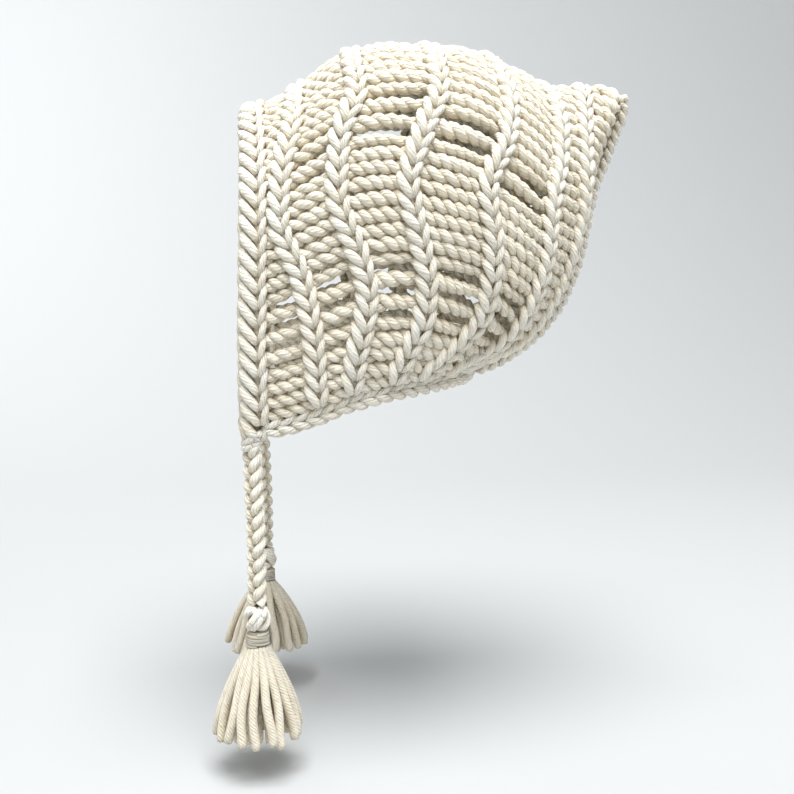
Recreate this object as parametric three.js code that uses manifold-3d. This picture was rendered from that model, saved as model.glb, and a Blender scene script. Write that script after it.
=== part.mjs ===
import * as THREE from "three";
import * as BufferGeometryUtils from "three/addons/utils/BufferGeometryUtils.js";
import Module from "manifold-3d";

const wasm = await Module();
wasm.setup();

// A toddler's pixie bonnet, crocheted in bulky undyed yarn as one flat panel of tall stitches, folded over
// the crown and sewn up the back to a point. A plaited tie with a tassel hangs from each front corner.
// Millimetres, +Z up. The face opening looks towards -Y and the wearer's left is +X. The hood is mirrored
// about X = 0, and the origin is the inside of the crown, where the head carries it.

const WALL_THICKNESS = 6;
const JOIN_GAP = 0.3;
const RIB_HALF_WIDTH = 4.6;
const RIB_HEIGHT = 4;
const FACE_BORDER_DIAMETER = 8.8;
const NECK_BORDER_DIAMETER = 8;
const SEAM_HEIGHT = 3.4;
const WIDEST_HEIGHT = 0.45;

// Cross sections of the outer face from the face edge to the tip: where the section lies, its lower edge
// and its top line, the half width at its widest and at the lower edge, and how square its crown and its
// lower part are.
const SECTIONS = [
  { y: -91.5, low: -199, top: -28.5, half: 66.5, lowHalf: 60, crown: 2.3, jaw: 1.8 },
  { y: -76, low: -195.5, top: -21.5, half: 70, lowHalf: 62, crown: 2.3, jaw: 1.8 },
  { y: -58, low: -190, top: -9, half: 73, lowHalf: 64, crown: 2.3, jaw: 1.8 },
  { y: -40, low: -183, top: 2.5, half: 76, lowHalf: 64, crown: 2.3, jaw: 1.8 },
  { y: -20, low: -178.5, top: 6, half: 77, lowHalf: 60, crown: 2.3, jaw: 1.8 },
  { y: 0, low: -175.5, top: 6, half: 76.5, lowHalf: 52, crown: 2.3, jaw: 1.8 },
  { y: 15, low: -173.5, top: 6, half: 74, lowHalf: 38, crown: 2.2, jaw: 1.9 },
  { y: 25, low: -172.5, top: 4.8, half: 71, lowHalf: 20, crown: 2.1, jaw: 2.2 },
  { y: 30, low: -172, top: 3.8, half: 69, lowHalf: 0, crown: 2.1, jaw: 2.5 },
  { y: 45, low: -167, top: -1.8, half: 62.5, lowHalf: 0, crown: 2, jaw: 2.5 },
  { y: 60, low: -157.5, top: -7.5, half: 53, lowHalf: 0, crown: 1.9, jaw: 2.4 },
  { y: 71, low: -147, top: -12.5, half: 44, lowHalf: 0, crown: 1.8, jaw: 2.2 },
  { y: 80, low: -135.5, top: -13, half: 36.5, lowHalf: 0, crown: 1.7, jaw: 2.1 },
  { y: 87, low: -121, top: -12.7, half: 30, lowHalf: 0, crown: 1.6, jaw: 2 },
  { y: 93, low: -103, top: -12.4, half: 24, lowHalf: 0, crown: 1.5, jaw: 2 },
  { y: 97, low: -82, top: -12.2, half: 20, lowHalf: 0, crown: 1.5, jaw: 2 },
  { y: 100, low: -68, top: -12, half: 17, lowHalf: 0, crown: 1.5, jaw: 2 },
  { y: 105, low: -54, top: -12.5, half: 13.5, lowHalf: 0, crown: 1.5, jaw: 2 },
  { y: 110, low: -41, top: -13.5, half: 10.5, lowHalf: 0, crown: 1.6, jaw: 2 },
  { y: 114, low: -31, top: -16, half: 8, lowHalf: 0, crown: 1.8, jaw: 2 },
  { y: 116.5, low: -24, top: -20, half: 5, lowHalf: 0, crown: 2, jaw: 2 },
];
const NAPE_Y = 30;
const TIP_Y = SECTIONS.at(-1).y;

// The edge of the panel and the six raised ridges: how far back each runs, at ten heights from the neck
// edge to the top fold. The heights are told as a turn from 0 at the neck edge to 1 at the fold.
const HEIGHTS = {
  neck: 0, nape: 1 / 16, jaw: 1 / 8, lobe: 3 / 16, ear: 1 / 4, temple: 3 / 8, brow: 1 / 2, hairline: 5 / 8,
  crown: 3 / 4, fold: 1,
};
const RIDGES = [
  {
    neck: -89.5, nape: -90, jaw: -90, lobe: -90, ear: -89.5,
    temple: -89, brow: -89, hairline: -89.5, crown: -90.5, fold: -91.3,
  },
  {
    neck: -59, nape: -60, jaw: -61, lobe: -63.5, ear: -67,
    temple: -78, brow: -76, hairline: -71.5, crown: -70, fold: -69,
  },
  {
    neck: -42.5, nape: -40, jaw: -36, lobe: -34, ear: -38.5,
    temple: -49, brow: -47, hairline: -38.5, crown: -39.5, fold: -40.5,
  },
  {
    neck: -22, nape: -13, jaw: -5, lobe: -4, ear: -7,
    temple: -13.5, brow: -5, hairline: 4, crown: 3.5, fold: 2.5,
  },
  {
    neck: -8, nape: 13, jaw: 27, lobe: 30, ear: 30.5,
    temple: 27.5, brow: 39.5, hairline: 43, crown: 39.5, fold: 37,
  },
  {
    neck: 6, nape: 39, jaw: 52.5, lobe: 59, ear: 63,
    temple: 65.5, brow: 72, hairline: 74, crown: 73, fold: 69.5,
  },
  {
    neck: 18, nape: 54, jaw: 68, lobe: 76.5, ear: 81.5,
    temple: 88, brow: 89.5, hairline: 90.5, crown: 92, fold: 94.5,
  },
];
const ROWS = RIDGES.length;

// Stitches from the neck edge to the top fold. The ear and crown stretches are worked loosely, which
// leaves a gap between each two stitches there; the neck is drawn in.
const STRETCHES = [
  { name: "neck", stitches: 7, pitch: 0.6 },
  { name: "ear", stitches: 4, pitch: 1.5 },
  { name: "temple", stitches: 6, pitch: 1 },
  { name: "crown", stitches: 4, pitch: 1.5 },
  { name: "top", stitches: 8, pitch: 1.05 },
];
const FOLD_STITCH = STRETCHES.reduce((sum, stretch) => sum + stretch.stitches, 0);
const GAPS = [
  { row: 1, after: [7, 8, 9, 10] },
  { row: 2, after: [7, 8, 9, 10, 17, 18, 19] },
  { row: 3, after: [8, 9, 10, 18, 19, 20] },
  { row: 4, after: [8, 9, 10, 18, 19] },
  { row: 5, after: [8, 9, 10, 17, 18] },
];
const GAP_STITCHES = [7, 8, 9, 10, 17, 18, 19, 20];
const GAP_HALF_HEIGHT_FRONT = 0.07;
const GAP_HALF_HEIGHT_REAR = 0.24;
const PLAIN_STITCHES = [0, 4, 12.5, 14.7, 22.5, 24.6, 26.8];

// Ties, one from each front corner: a plait, a knot, a thread wrap and a tassel, hanging straight down.
const TIE_DIAMETER = 10.6;
const TIE_SIDES = 10;
const TIE_ROUTE = [
  { x: 57.6, y: -94.4, z: -207.9 },
  { x: 58.8, y: -93.8, z: -229 },
  { x: 60, y: -93, z: -251 },
  { x: 60.8, y: -92.6, z: -272 },
  { x: 61.2, y: -92.8, z: -293.5 },
];
const KNOT_DIAMETER = 14.6;
const KNOT_HEIGHT = 14;
const WRAP_DIAMETER = 12.6;
const WRAP_HEIGHT = 7.6;
const TASSEL_LENGTH = 52;
const TASSEL_SPREAD = 22;
const TASSEL_LOCKS = 10;

const YARN = new THREE.Color(0xe9dfcb);
const yarnMaterial = () => new THREE.MeshStandardMaterial({ color: YARN, roughness: 0.95, metalness: 0 });

// A smooth curve through a table's rows that never overshoots them.
function readTable(rows, key, column, at) {
  const last = rows.length - 1;
  if (at <= rows[0][key]) return rows[0][column];
  if (at >= rows[last][key]) return rows[last][column];
  const chord = (i) => (rows[i + 1][column] - rows[i][column]) / (rows[i + 1][key] - rows[i][key]);
  const slope = (i) => {
    if (i === 0) return chord(0);
    if (i === last) return chord(last - 1);
    const before = chord(i - 1);
    const after = chord(i);
    return before * after <= 0 ? 0 : (2 * before * after) / (before + after);
  };
  const i = rows.findIndex((row, index) => at <= rows[index + 1][key]);
  const span = rows[i + 1][key] - rows[i][key];
  const t = (at - rows[i][key]) / span;
  const ease = t * t * (3 - 2 * t);
  const bend = t * (1 - t) * ((1 - t) * slope(i) - t * slope(i + 1)) * span;
  return rows[i][column] + ease * (rows[i + 1][column] - rows[i][column]) + bend;
}

const section = (column, y) => readTable(SECTIONS, "y", column, y);

// Half the hood's width at a place on its side.
function halfWidth(y, z) {
  const low = section("low", y);
  const height = Math.min(Math.max((z - low) / (section("top", y) - low), 0), 1);
  const half = section("half", y);
  if (height >= WIDEST_HEIGHT) {
    const crown = section("crown", y);
    const up = (height - WIDEST_HEIGHT) / (1 - WIDEST_HEIGHT);
    return half * (1 - up ** crown) ** (1 / crown);
  }
  const down = (WIDEST_HEIGHT - height) / WIDEST_HEIGHT;
  const lowHalf = section("lowHalf", y);
  const jaw = section("jaw", y);
  return lowHalf + (half - lowHalf) * (1 - down ** jaw) ** (1 / jaw);
}

// A turn rises evenly up the side and levels out over the crown, so that equal turns stay about equal steps.
const neckHeight = (y) => section("low", Math.min(y, NAPE_Y));
const heightOfTurn = (turn, neck, top) => neck + Math.sin((Math.PI / 2) * turn) * (top - neck);

function turnOfHeight(y, z) {
  const neck = neckHeight(y);
  const share = (z - neck) / (section("top", y) - neck);
  return Math.asin(Math.min(Math.max(share, 0), 1)) / (Math.PI / 2);
}

// The line of each ridge, and last the back seam, as places with their lengths along it.
const LINE_STEPS = 160;

function ridgeLine(ridge) {
  const heights = Object.entries(HEIGHTS).map(([name, turn]) => ({ turn, y: ridge[name] }));
  const neck = neckHeight(ridge.neck);
  const top = section("top", ridge.fold);
  return Array.from({ length: LINE_STEPS + 1 }, (_, i) => {
    const turn = i / LINE_STEPS;
    const y = readTable(heights, "turn", "y", turn);
    const z = heightOfTurn(turn, neck, top);
    return { y, turn: turnOfHeight(y, z), place: new THREE.Vector3(halfWidth(y, z), y, z) };
  });
}

function seamLine() {
  return Array.from({ length: LINE_STEPS + 1 }, (_, i) => {
    const y = NAPE_Y + (TIP_Y - NAPE_Y) * Math.sin((Math.PI / 2) * (i / LINE_STEPS));
    const z = i < LINE_STEPS ? section("low", y) : section("top", y);
    return { y, turn: turnOfHeight(y, z), place: new THREE.Vector3(0, y, z) };
  });
}

function withLengths(line) {
  let length = 0;
  line.forEach((step, i) => {
    length += i ? step.place.distanceTo(line[i - 1].place) : 0;
    step.length = length;
  });
  return line;
}

const LINES = [...RIDGES.map(ridgeLine), seamLine()].map(withLengths);

const PITCH_SUM = STRETCHES.reduce((sum, stretch) => sum + stretch.stitches * stretch.pitch, 0);

function shareOfStitch(stitch) {
  let rest = stitch;
  let share = 0;
  for (const stretch of STRETCHES) {
    const here = Math.min(rest, stretch.stitches);
    share += here * stretch.pitch;
    rest -= here;
    if (rest <= 0) break;
  }
  return share / PITCH_SUM;
}

function stepOnLine(line, stitch) {
  const length = shareOfStitch(stitch) * line.at(-1).length;
  const i = Math.max(1, line.findIndex((step) => step.length >= length));
  const t = (length - line[i - 1].length) / (line[i].length - line[i - 1].length);
  const blend = (a, b) => a + (b - a) * t;
  return { y: blend(line[i - 1].y, line[i].y), turn: blend(line[i - 1].turn, line[i].turn) };
}

// A place on the outer face. The row coordinate runs from 0 at the face edge to 7 at the back seam, and the
// stitch coordinate from 0 at the left neck edge over the top fold to the right neck edge.
function outerPlace(row, stitch) {
  const side = stitch > FOLD_STITCH ? -1 : 1;
  const folded = side > 0 ? stitch : 2 * FOLD_STITCH - stitch;
  const before = Math.min(Math.floor(row), ROWS - 1);
  const a = stepOnLine(LINES[before], folded);
  const b = stepOnLine(LINES[before + 1], folded);
  const t = row - before;
  const y = a.y + (b.y - a.y) * t;
  const turn = a.turn + (b.turn - a.turn) * t;
  const z = heightOfTurn(turn, neckHeight(y), section("top", y));
  const onMiddle = folded >= FOLD_STITCH || row >= ROWS;
  return new THREE.Vector3(onMiddle ? 0 : side * halfWidth(y, z), y, z);
}

// The outward direction of the face there. At the neck edge it is level, since the border hangs from it.
const PROBE = 0.06;

function outward(row, stitch) {
  const side = stitch > FOLD_STITCH ? -1 : 1;
  const folded = side > 0 ? stitch : 2 * FOLD_STITCH - stitch;
  const onFold = Math.abs(stitch - FOLD_STITCH) < 1e-6;
  const inRow = Math.min(Math.max(row, PROBE), ROWS - PROBE);
  const inStitch = Math.min(Math.max(folded, PROBE), onFold ? FOLD_STITCH : FOLD_STITCH - PROBE);
  const onNeck = folded <= 0;
  const level = onNeck ? 0 : inStitch;
  const across = outerPlace(inRow + PROBE, level).sub(outerPlace(inRow - PROBE, level));
  const along = outerPlace(inRow, inStitch + PROBE).sub(outerPlace(inRow, inStitch - PROBE));
  const normal = onNeck ? new THREE.Vector3(across.y, -across.x, 0) : across.cross(along);
  if (onFold || row >= ROWS) normal.x = 0;
  normal.x *= side;
  return normal.normalize();
}

// The row coordinate that lies a distance in millimetres behind one ridge, or ahead of it if negative.
const CROSS_STEPS = 24;

function rowBeside(ridge, stitch, distance) {
  const forward = distance < 0;
  const reach = Math.abs(distance);
  let row = ridge;
  let last = outerPlace(ridge, stitch);
  let length = 0;
  for (let i = 1; i <= CROSS_STEPS; i += 1) {
    const share = (1 - Math.cos((Math.PI * i) / CROSS_STEPS)) / 2;
    const next = ridge + (forward ? -share : share);
    const place = outerPlace(next, stitch);
    const step = place.distanceTo(last);
    if (length + step >= reach) return row + (next - row) * ((reach - length) / step);
    length += step;
    last = place;
    row = next;
  }
  return row;
}

// The stitches at which every piece has its stations, from the left neck edge to the right one. Those beside
// a gap differ at the front and the rear of a row, since the gap is a wedge that opens backwards.
const leftStations = [
  ...PLAIN_STITCHES.map((stitch) => ({ front: stitch, middle: stitch, rear: stitch })),
  ...GAP_STITCHES.flatMap((stitch) => [-1, 1].map((sign) => ({
    front: stitch + sign * GAP_HALF_HEIGHT_FRONT,
    middle: stitch + (sign * (GAP_HALF_HEIGHT_FRONT + GAP_HALF_HEIGHT_REAR)) / 2,
    rear: stitch + sign * GAP_HALF_HEIGHT_REAR,
    gapAfter: sign < 0 ? stitch : undefined,
  }))),
].sort((a, b) => a.middle - b.middle);
const mirrored = (station, next) => ({
  front: 2 * FOLD_STITCH - station.front,
  middle: 2 * FOLD_STITCH - station.middle,
  rear: 2 * FOLD_STITCH - station.rear,
  gapAfter: next?.gapAfter,
});
const foldStation = { front: FOLD_STITCH, middle: FOLD_STITCH, rear: FOLD_STITCH };
const rightStations = leftStations.map((station, i) => mirrored(station, leftStations[i - 1])).reverse();
const STATIONS = [...leftStations, foldStation, ...rightStations];

// Each row of stitches is measured at four places across: its front edge, behind the front ridge, ahead of
// the rear ridge, and its rear edge. Neighbouring rows share their edge but for the gap between them.
const cornerCache = new Map();

function edgeCorner(ridge, stitch, towards) {
  const place = outerPlace(ridge, stitch);
  const normal = outward(ridge, stitch);
  const side = Math.sign(FOLD_STITCH - stitch);
  const onNeck = stitch <= 0 || stitch >= 2 * FOLD_STITCH;
  if (ridge < ROWS) {
    const along = outerPlace(ridge, stitch + PROBE).sub(outerPlace(ridge, stitch - PROBE));
    const aside = onNeck ? new THREE.Vector3(-side * normal.y, side * normal.x, 0) : along.cross(normal);
    place.addScaledVector(aside.normalize(), (towards * JOIN_GAP) / 2);
  }
  return { place, normal, stitch };
}

function insideCorner(ridge, stitch, distance) {
  const row = rowBeside(ridge, stitch, distance);
  return { place: outerPlace(row, stitch), normal: outward(row, stitch), stitch };
}

const CORNER_MAKERS = [
  (row, station) => edgeCorner(row - 1, station.middle, 1),
  (row, station) => insideCorner(row - 1, station.front, RIB_HALF_WIDTH),
  (row, station) => insideCorner(row, station.rear, -RIB_HALF_WIDTH),
  (row, station) => edgeCorner(row, station.middle, -1),
];

const ROW_COLUMNS = CORNER_MAKERS.length;

function rowCorner(row, station, column) {
  const key = `${row} ${station.middle} ${column}`;
  if (!cornerCache.has(key)) cornerCache.set(key, CORNER_MAKERS[column](row, station));
  return cornerCache.get(key);
}

// Turns lists of corners and faces into one closed geometry.
function closedGeometry(points, faces) {
  const geometry = new THREE.BufferGeometry();
  const positions = points.flatMap((point) => point.toArray());
  geometry.setAttribute("position", new THREE.Float32BufferAttribute(positions, 3));
  geometry.setIndex(faces.flat());
  return geometry;
}

const quad = (a, b, c, d) => [[a, b, c], [a, c, d]];

// A wall of one row: the outer face, the inner face a wall's thickness below it, and the rims of the row and
// of each gap between its stitches.
function rowGeometry(row) {
  const gaps = GAPS.find((entry) => entry.row === row)?.after ?? [];
  const columns = ROW_COLUMNS;
  const points = [];
  STATIONS.forEach((station) => {
    for (let column = 0; column < columns; column += 1) {
      const corner = rowCorner(row, station, column);
      const inner = corner.place.clone().addScaledVector(corner.normal, -WALL_THICKNESS);
      const side = Math.sign(FOLD_STITCH - corner.stitch);
      const outer = corner.place.clone();
      if (side !== 0) {
        outer.x = side * Math.max(side * outer.x, JOIN_GAP / 2);
        inner.x = side * Math.max(side * inner.x, JOIN_GAP / 2);
      }
      points.push(outer, inner);
    }
  });
  const index = (i, column, inner) => (i * columns + column) * 2 + (inner ? 1 : 0);
  const isSolid = (i, column) => {
    if (i < 0 || i >= STATIONS.length - 1 || column < 0 || column >= columns - 1) return false;
    return !(column === 1 && gaps.includes(STATIONS[i].gapAfter));
  };
  const faces = [];
  for (let i = 0; i < STATIONS.length - 1; i += 1) {
    for (let column = 0; column < columns - 1; column += 1) {
      if (!isSolid(i, column)) continue;
      const corners = [[i, column], [i + 1, column], [i + 1, column + 1], [i, column + 1]];
      const outer = corners.map(([a, b]) => index(a, b, false));
      const inner = corners.map(([a, b]) => index(a, b, true));
      faces.push(...quad(outer[0], outer[3], outer[2], outer[1]), ...quad(...inner));
      if (!isSolid(i, column - 1)) faces.push(...quad(outer[0], outer[1], inner[1], inner[0]));
      if (!isSolid(i + 1, column)) faces.push(...quad(outer[1], outer[2], inner[2], inner[1]));
      if (!isSolid(i, column + 1)) faces.push(...quad(outer[3], inner[3], inner[2], outer[2]));
      if (!isSolid(i - 1, column)) faces.push(...quad(outer[3], outer[0], inner[0], inner[3]));
    }
  }
  return closedGeometry(points, faces);
}

// A rail: the same ring of points at each station, joined into a closed bar.
function railGeometry(rings) {
  const size = rings[0].length;
  const faces = [];
  for (let i = 0; i < rings.length - 1; i += 1) {
    for (let k = 0; k < size; k += 1) {
      const next = (k + 1) % size;
      faces.push(...quad(i * size + k, (i + 1) * size + k, (i + 1) * size + next, i * size + next));
    }
  }
  const end = (rings.length - 1) * size;
  for (let k = 1; k < size - 1; k += 1) {
    faces.push([0, k, k + 1], [end, end + k + 1, end + k]);
  }
  return closedGeometry(rings.flat(), faces);
}

// A raised ridge over the join of two rows: it rests on the two rows' faces and is rounded on top.
const RIB_CROWN_SHARE = 0.5;
const RIB_STAND_OFF = 0.5;

function ribRing(front, middle, rear, height) {
  const raise = (corner, by) => corner.place.clone().addScaledVector(corner.normal, by);
  const crownPoint = (corner) => {
    const base = middle.place.clone().lerp(corner.place, RIB_CROWN_SHARE);
    return base.addScaledVector(middle.normal, height);
  };
  return [
    raise(middle, RIB_STAND_OFF),
    raise(rear, RIB_STAND_OFF),
    crownPoint(rear),
    crownPoint(front),
    raise(front, RIB_STAND_OFF),
  ];
}

function middleCorner(ridge, station) {
  return { place: outerPlace(ridge, station.middle), normal: outward(ridge, station.middle) };
}

// A ridge stops just short of the neck border.
const RIB_END_SHARE = 0.14;

function endCorner(atEdge, next) {
  return { place: atEdge.place.clone().lerp(next.place, RIB_END_SHARE), normal: next.normal };
}

function ribRings(stations, cornersAt, height) {
  const corners = stations.map(cornersAt);
  corners[0] = corners[0].map((corner, k) => endCorner(corner, corners[1][k]));
  const last = corners.length - 1;
  if (stations[last].middle > FOLD_STITCH) {
    corners[last] = corners[last].map((corner, k) => endCorner(corner, corners[last - 1][k]));
  }
  return corners.map((ring) => ribRing(...ring, height));
}

function ridgeGeometry(ridge) {
  const cornersAt = (station) => [
    rowCorner(ridge, station, 2),
    middleCorner(ridge, station),
    rowCorner(ridge + 1, station, 1),
  ];
  return railGeometry(ribRings(STATIONS, cornersAt, RIB_HEIGHT));
}

// The back seam is sewn over the two butted edges from the nape to the tip.
function seamGeometry() {
  const mirror = (vector) => new THREE.Vector3(-vector.x, vector.y, vector.z);
  const cornersAt = (station) => {
    const left = rowCorner(ROWS, station, 2);
    const right = { place: mirror(left.place), normal: mirror(left.normal) };
    return [left, middleCorner(ROWS, station), right];
  };
  return railGeometry(ribRings(leftStations, cornersAt, SEAM_HEIGHT));
}

// A border worked along an edge: a six-sided bar whose flat side faces the edge.
const BORDER_SIDES = 6;
const BORDER_GAP = 0.6;

function borderRing(edge, normal, away, diameter) {
  const radius = diameter / 2;
  const flat = radius * Math.cos(Math.PI / BORDER_SIDES);
  const centre = edge.clone().addScaledVector(normal, -WALL_THICKNESS / 2);
  centre.addScaledVector(away, flat + BORDER_GAP);
  return Array.from({ length: BORDER_SIDES }, (_, k) => {
    const angle = (-2 * Math.PI * (k + 0.5)) / BORDER_SIDES;
    const point = centre.clone().addScaledVector(away, radius * Math.cos(angle));
    return point.addScaledVector(normal, radius * Math.sin(angle));
  });
}

function faceBorderGeometry() {
  const rings = STATIONS.map(({ middle }) => {
    const normal = outward(0, middle);
    const along = outerPlace(0, middle + PROBE).sub(outerPlace(0, middle - PROBE));
    const away = normal.clone().cross(along).normalize();
    return borderRing(outerPlace(0, middle), normal, away, FACE_BORDER_DIAMETER);
  });
  const drop = new THREE.Vector3(0, 0, -(NECK_BORDER_DIAMETER + BORDER_GAP));
  const lower = (ring) => ring.map((point) => point.clone().add(drop));
  return railGeometry([lower(rings[0]), ...rings, lower(rings.at(-1))]);
}

function neckBorderGeometry() {
  const edge = [];
  for (let row = 1; row <= ROWS; row += 1) {
    const first = row > 1 ? 1 : 0;
    for (let column = first; column < ROW_COLUMNS; column += 1) {
      edge.push(rowCorner(row, STATIONS[0], column));
    }
  }
  const down = new THREE.Vector3(0, 0, -1);
  const left = edge.map(({ place, normal }) => borderRing(place, normal, down, NECK_BORDER_DIAMETER));
  const mirror = new THREE.Vector3(-1, 1, 1);
  const right = left.slice(0, -1).map((ring) => ring.map((point) => point.clone().multiply(mirror)));
  return railGeometry([...right, ...left.toReversed()]);
}

// One tie, for the wearer's left at side 1 and right at side -1.
function tieRoute(side) {
  return TIE_ROUTE.map((step) => new THREE.Vector3(side * step.x, step.y, step.z));
}

function roundShape(radius, sides) {
  const corners = Array.from({ length: sides }, (_, k) => (2 * Math.PI * k) / sides);
  return new THREE.Shape(corners.map((a) => new THREE.Vector2(radius * Math.cos(a), radius * Math.sin(a))));
}

function tieGeometry(side) {
  const path = new THREE.CatmullRomCurve3(tieRoute(side));
  const steps = TIE_ROUTE.length - 1;
  const options = { steps, bevelEnabled: false, extrudePath: path };
  return new THREE.ExtrudeGeometry(roundShape(TIE_DIAMETER / 2, TIE_SIDES), options);
}

// Turned pieces are drawn as half profiles from the axis out and back, top first: how far out and how far
// down each point lies, as a share of the piece's radius and height.
const KNOT_PROFILE = [
  { out: 0, down: 0 },
  { out: 0.55, down: 0.04 },
  { out: 0.92, down: 0.25 },
  { out: 1, down: 0.5 },
  { out: 0.92, down: 0.76 },
  { out: 0.6, down: 0.97 },
  { out: 0, down: 1 },
];
const WRAP_PROFILE = [
  { out: 0, down: 0 },
  { out: 0.81, down: 0 },
  { out: 1, down: 0.16 },
  { out: 1, down: 0.84 },
  { out: 0.81, down: 1 },
  { out: 0, down: 1 },
];
const TASSEL_CORE_PROFILE = [
  { out: 0, down: 0 },
  { out: 0.28, down: 0 },
  { out: 0.373, down: 0.115 },
  { out: 0.72, down: 0.8 },
  { out: 0.6, down: 0.93 },
  { out: 0, down: 0.93 },
];

function turned(profile, radius, height, sides) {
  const points = profile.map(({ out, down }) => new THREE.Vector2(out * radius, -down * height));
  return new THREE.LatheGeometry(points.reverse(), sides).rotateX(Math.PI / 2);
}

const KNOT_SIDES = 10;
const knotGeometry = () => turned(KNOT_PROFILE, KNOT_DIAMETER / 2, KNOT_HEIGHT, KNOT_SIDES);
const wrapGeometry = () => turned(WRAP_PROFILE, WRAP_DIAMETER / 2, WRAP_HEIGHT, KNOT_SIDES);

// A closed mesh as a solid that can be joined to others, and back.
function toSolid(geometry) {
  const bare = geometry.clone();
  bare.deleteAttribute("normal");
  bare.deleteAttribute("uv");
  const merged = BufferGeometryUtils.mergeVertices(bare);
  const vertProperties = new Float32Array(merged.attributes.position.array);
  const triVerts = new Uint32Array(merged.index.array);
  return new wasm.Manifold(new wasm.Mesh({ numProp: 3, vertProperties, triVerts }));
}

function fromSolid(solid) {
  const { vertProperties, triVerts } = solid.getMesh();
  const geometry = new THREE.BufferGeometry();
  geometry.setAttribute("position", new THREE.BufferAttribute(new Float32Array(vertProperties), 3));
  geometry.setIndex(new THREE.BufferAttribute(new Uint32Array(triVerts), 1));
  return geometry;
}

// The tassel: a round head with a ring of thick locks that fan out and down from it, joined into one solid.
const LOCK_RADIUS = 4.6;
const LOCK_SIDES = 5;
const SHORT_LOCK_SHARE = 0.94;
const LOCK_ROUTE = [
  { out: 0.21, down: 0.048 },
  { out: 0.62, down: 0.38 },
  { out: 0.86, down: 0.7 },
  { out: 1, down: 1 },
];

function lockSolid(angle, length) {
  const reach = TASSEL_SPREAD - LOCK_RADIUS;
  const points = LOCK_ROUTE.map(({ out, down }) => {
    const radius = out * reach;
    return new THREE.Vector3(radius * Math.cos(angle), radius * Math.sin(angle), -down * length);
  });
  const extrudePath = new THREE.CatmullRomCurve3(points);
  const options = { steps: LOCK_ROUTE.length - 1, bevelEnabled: false, extrudePath };
  return toSolid(new THREE.ExtrudeGeometry(roundShape(LOCK_RADIUS, LOCK_SIDES), options));
}

function tasselGeometry() {
  let solid = toSolid(turned(TASSEL_CORE_PROFILE, TASSEL_SPREAD, TASSEL_LENGTH, TASSEL_LOCKS));
  for (let k = 0; k < TASSEL_LOCKS; k += 1) {
    const length = TASSEL_LENGTH * (k % 2 ? 1 : SHORT_LOCK_SHARE);
    solid = solid.add(lockSolid((2 * Math.PI * k) / TASSEL_LOCKS, length));
  }
  return fromSolid(solid);
}

const bonnet = new THREE.Group();

function addPiece(name, geometry, place = new THREE.Vector3()) {
  const mesh = new THREE.Mesh(geometry, yarnMaterial());
  mesh.name = name;
  mesh.position.copy(place);
  bonnet.add(mesh);
}

for (let row = 1; row <= ROWS; row += 1) addPiece(`row_${row}`, rowGeometry(row));
for (let ridge = 1; ridge < ROWS; ridge += 1) addPiece(`ridge_${ridge}`, ridgeGeometry(ridge));
addPiece("face_border", faceBorderGeometry());
addPiece("neck_border", neckBorderGeometry());
addPiece("back_seam", seamGeometry());

for (const [name, side] of [["left", 1], ["right", -1]]) {
  addPiece(`tie_${name}`, tieGeometry(side));
  const below = tieRoute(side).at(-1);
  below.z -= JOIN_GAP;
  addPiece(`tie_knot_${name}`, knotGeometry(), below);
  below.z -= KNOT_HEIGHT + JOIN_GAP;
  addPiece(`tassel_wrap_${name}`, wrapGeometry(), below);
  below.z -= WRAP_HEIGHT + JOIN_GAP;
  addPiece(`tassel_${name}`, tasselGeometry(), below);
}

export default bonnet;
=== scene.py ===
import math

import bpy
import numpy as np
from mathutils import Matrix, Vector


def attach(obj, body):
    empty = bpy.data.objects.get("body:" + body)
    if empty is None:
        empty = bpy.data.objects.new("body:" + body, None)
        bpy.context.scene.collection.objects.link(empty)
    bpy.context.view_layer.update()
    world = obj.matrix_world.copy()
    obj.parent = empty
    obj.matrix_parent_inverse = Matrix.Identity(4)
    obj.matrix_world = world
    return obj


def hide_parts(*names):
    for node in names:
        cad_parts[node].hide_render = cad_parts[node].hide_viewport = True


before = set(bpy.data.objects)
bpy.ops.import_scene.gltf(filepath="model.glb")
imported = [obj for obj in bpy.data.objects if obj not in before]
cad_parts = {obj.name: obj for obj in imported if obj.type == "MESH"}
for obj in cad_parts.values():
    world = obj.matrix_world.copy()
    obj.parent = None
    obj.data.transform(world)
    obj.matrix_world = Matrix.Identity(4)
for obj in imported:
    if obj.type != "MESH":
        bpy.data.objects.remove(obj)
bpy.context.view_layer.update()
bpy.ops.object.select_all(action="DESELECT")

# The camera. It stands 0.6 m from the middle of the bonnet, on its left side, and looks a little down and a
# little backwards at it. Its lens is slightly longer than normal.
CAMERA_PLACE = (0.588, -0.0676, -0.129)
CAMERA_LOOK = (-0.9903, 0.0919, -0.1045)
CAMERA_LENS = 46.2
CAMERA_SENSOR = 36

camera_turn = Vector(CAMERA_LOOK).to_track_quat("-Z", "Y").to_euler()
bpy.ops.object.camera_add(location=CAMERA_PLACE, rotation=camera_turn)
camera = bpy.context.object
camera.name = "side_camera"
camera.data.lens = CAMERA_LENS
camera.data.sensor_width = CAMERA_SENSOR
bpy.context.scene.camera = camera

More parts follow.
